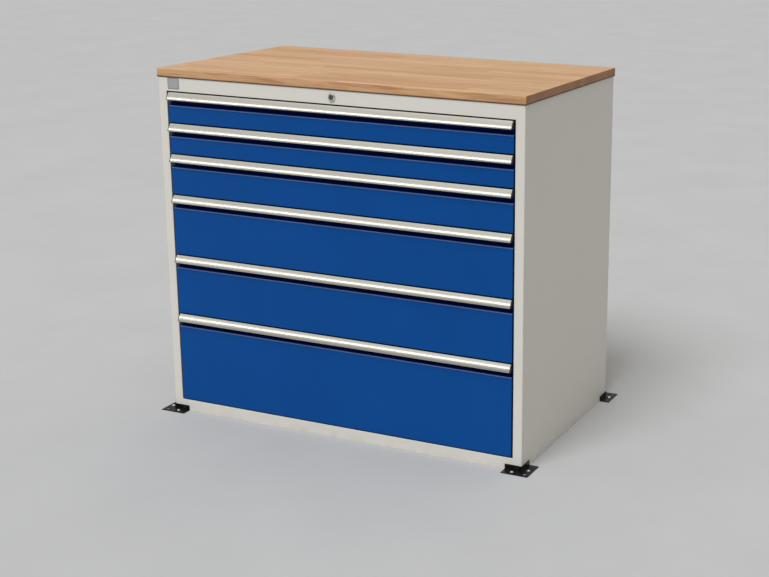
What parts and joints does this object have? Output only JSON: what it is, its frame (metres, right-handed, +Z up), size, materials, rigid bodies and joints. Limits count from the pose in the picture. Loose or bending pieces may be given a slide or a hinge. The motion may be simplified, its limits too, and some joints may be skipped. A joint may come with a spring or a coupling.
{
  "type": "drawer cabinet",
  "caption": "Free-standing steel drawer cabinet with full-extension drawers, full-width grip strips, a central lock and a solid wood worktop.",
  "frame": {"origin": "on the floor under the middle of the casing's footprint", "axes": "+X to the right along the fronts, +Z up, -Y out of the drawer fronts"},
  "size_m": [1.205, 0.71, 1.031],
  "materials": {
    "casing": "light grey fine-texture powder coat",
    "tray_paint": "light grey powder coat",
    "front_blue": "gentian blue fine-texture powder coat",
    "grip_aluminium": "satin anodised, drawn lengthwise",
    "cap_black": "moulded black plastic",
    "worktop": "oiled beech, glued from lengthwise staves",
    "zinc_steel": "galvanised sheet",
    "lock_nickel": "nickel-plated",
    "label_blank": "blank satin plate",
    "bracket_black": "black paint",
    "screw_zinc": "bright zinc"
  },
  "bodies": {
    "cabinet": {"side_panel_left": "casing", "side_panel_right": "casing", "back_panel": "casing", "base_pan": "casing", "bottom_rail": "casing", "top_rail": "casing", "top_plate": "casing", "worktop": "worktop", "worktop_screws": "zinc_steel", "posts_left": "zinc_steel", "posts_right": "zinc_steel", "cabinet_runners_left": "zinc_steel", "cabinet_runners_right": "zinc_steel", "bar_guides": "zinc_steel", "lock_housing": "lock_nickel", "lock_nut": "zinc_steel", "label_plate": "label_blank", "corner_brackets": "bracket_black", "bracket_screws": "screw_zinc"},
    "drawer_1": {"drawer1_tray": "tray_paint", "drawer1_front": "front_blue", "drawer1_handle": "grip_aluminium", "drawer1_end_caps": "cap_black", "drawer1_drawer_runners": "zinc_steel"},
    "slide_1": {"drawer1_middle_runners": "zinc_steel"},
    "drawer_2": {"drawer2_tray": "tray_paint", "drawer2_front": "front_blue", "drawer2_handle": "grip_aluminium", "drawer2_end_caps": "cap_black", "drawer2_drawer_runners": "zinc_steel"},
    "slide_2": {"drawer2_middle_runners": "zinc_steel"},
    "drawer_3": {"drawer3_tray": "tray_paint", "drawer3_front": "front_blue", "drawer3_handle": "grip_aluminium", "drawer3_end_caps": "cap_black", "drawer3_drawer_runners": "zinc_steel"},
    "slide_3": {"drawer3_middle_runners": "zinc_steel"},
    "drawer_4": {"drawer4_tray": "tray_paint", "drawer4_front": "front_blue", "drawer4_handle": "grip_aluminium", "drawer4_end_caps": "cap_black", "drawer4_drawer_runners": "zinc_steel"},
    "slide_4": {"drawer4_middle_runners": "zinc_steel"},
    "drawer_5": {"drawer5_tray": "tray_paint", "drawer5_front": "front_blue", "drawer5_handle": "grip_aluminium", "drawer5_end_caps": "cap_black", "drawer5_drawer_runners": "zinc_steel"},
    "slide_5": {"drawer5_middle_runners": "zinc_steel"},
    "drawer_6": {"drawer6_tray": "tray_paint", "drawer6_front": "front_blue", "drawer6_handle": "grip_aluminium", "drawer6_end_caps": "cap_black", "drawer6_drawer_runners": "zinc_steel"},
    "slide_6": {"drawer6_middle_runners": "zinc_steel"},
    "lock_cylinder": {"lock_plug": "lock_nickel", "lock_shaft": "zinc_steel", "lock_cam": "zinc_steel"},
    "lock_bar": {"locking_bar": "zinc_steel"}
  },
  "joints": [
    {"name": "drawer_1_slide", "type": "slide", "parent": "cabinet", "child": "drawer_1", "axis": [0, -1, 0], "range_m": [0, 0.56]},
    {"name": "runner_1_slide", "type": "slide", "parent": "cabinet", "child": "slide_1", "axis": [0, -1, 0], "range_m": [0, 0.28]},
    {"name": "drawer_2_slide", "type": "slide", "parent": "cabinet", "child": "drawer_2", "axis": [0, -1, 0], "range_m": [0, 0.56]},
    {"name": "runner_2_slide", "type": "slide", "parent": "cabinet", "child": "slide_2", "axis": [0, -1, 0], "range_m": [0, 0.28]},
    {"name": "drawer_3_slide", "type": "slide", "parent": "cabinet", "child": "drawer_3", "axis": [0, -1, 0], "range_m": [0, 0.56]},
    {"name": "runner_3_slide", "type": "slide", "parent": "cabinet", "child": "slide_3", "axis": [0, -1, 0], "range_m": [0, 0.28]},
    {"name": "drawer_4_slide", "type": "slide", "parent": "cabinet", "child": "drawer_4", "axis": [0, -1, 0], "range_m": [0, 0.56]},
    {"name": "runner_4_slide", "type": "slide", "parent": "cabinet", "child": "slide_4", "axis": [0, -1, 0], "range_m": [0, 0.28]},
    {"name": "drawer_5_slide", "type": "slide", "parent": "cabinet", "child": "drawer_5", "axis": [0, -1, 0], "range_m": [0, 0.56]},
    {"name": "runner_5_slide", "type": "slide", "parent": "cabinet", "child": "slide_5", "axis": [0, -1, 0], "range_m": [0, 0.28]},
    {"name": "drawer_6_slide", "type": "slide", "parent": "cabinet", "child": "drawer_6", "axis": [0, -1, 0], "range_m": [0, 0.56]},
    {"name": "runner_6_slide", "type": "slide", "parent": "cabinet", "child": "slide_6", "axis": [0, -1, 0], "range_m": [0, 0.28]},
    {"name": "lock_turn", "type": "hinge", "parent": "cabinet", "child": "lock_cylinder", "pos_m": [0, -0.325, 0.987], "axis": [0, 1, 0], "range_deg": [0, 90]},
    {"name": "lock_bar_lift", "type": "slide", "parent": "cabinet", "child": "lock_bar", "axis": [0, 0, 1], "range_m": [0, 0.012]}
  ],
  "couplings": [
    {"joint": "runner_1_slide", "follows": "drawer_1_slide", "ratio": 0.5},
    {"joint": "runner_2_slide", "follows": "drawer_2_slide", "ratio": 0.5},
    {"joint": "runner_3_slide", "follows": "drawer_3_slide", "ratio": 0.5},
    {"joint": "runner_4_slide", "follows": "drawer_4_slide", "ratio": 0.5},
    {"joint": "runner_5_slide", "follows": "drawer_5_slide", "ratio": 0.5},
    {"joint": "runner_6_slide", "follows": "drawer_6_slide", "ratio": 0.5},
    {"joint": "lock_turn", "follows": "lock_bar_lift", "rad_per_m": 130.9}
  ]
}
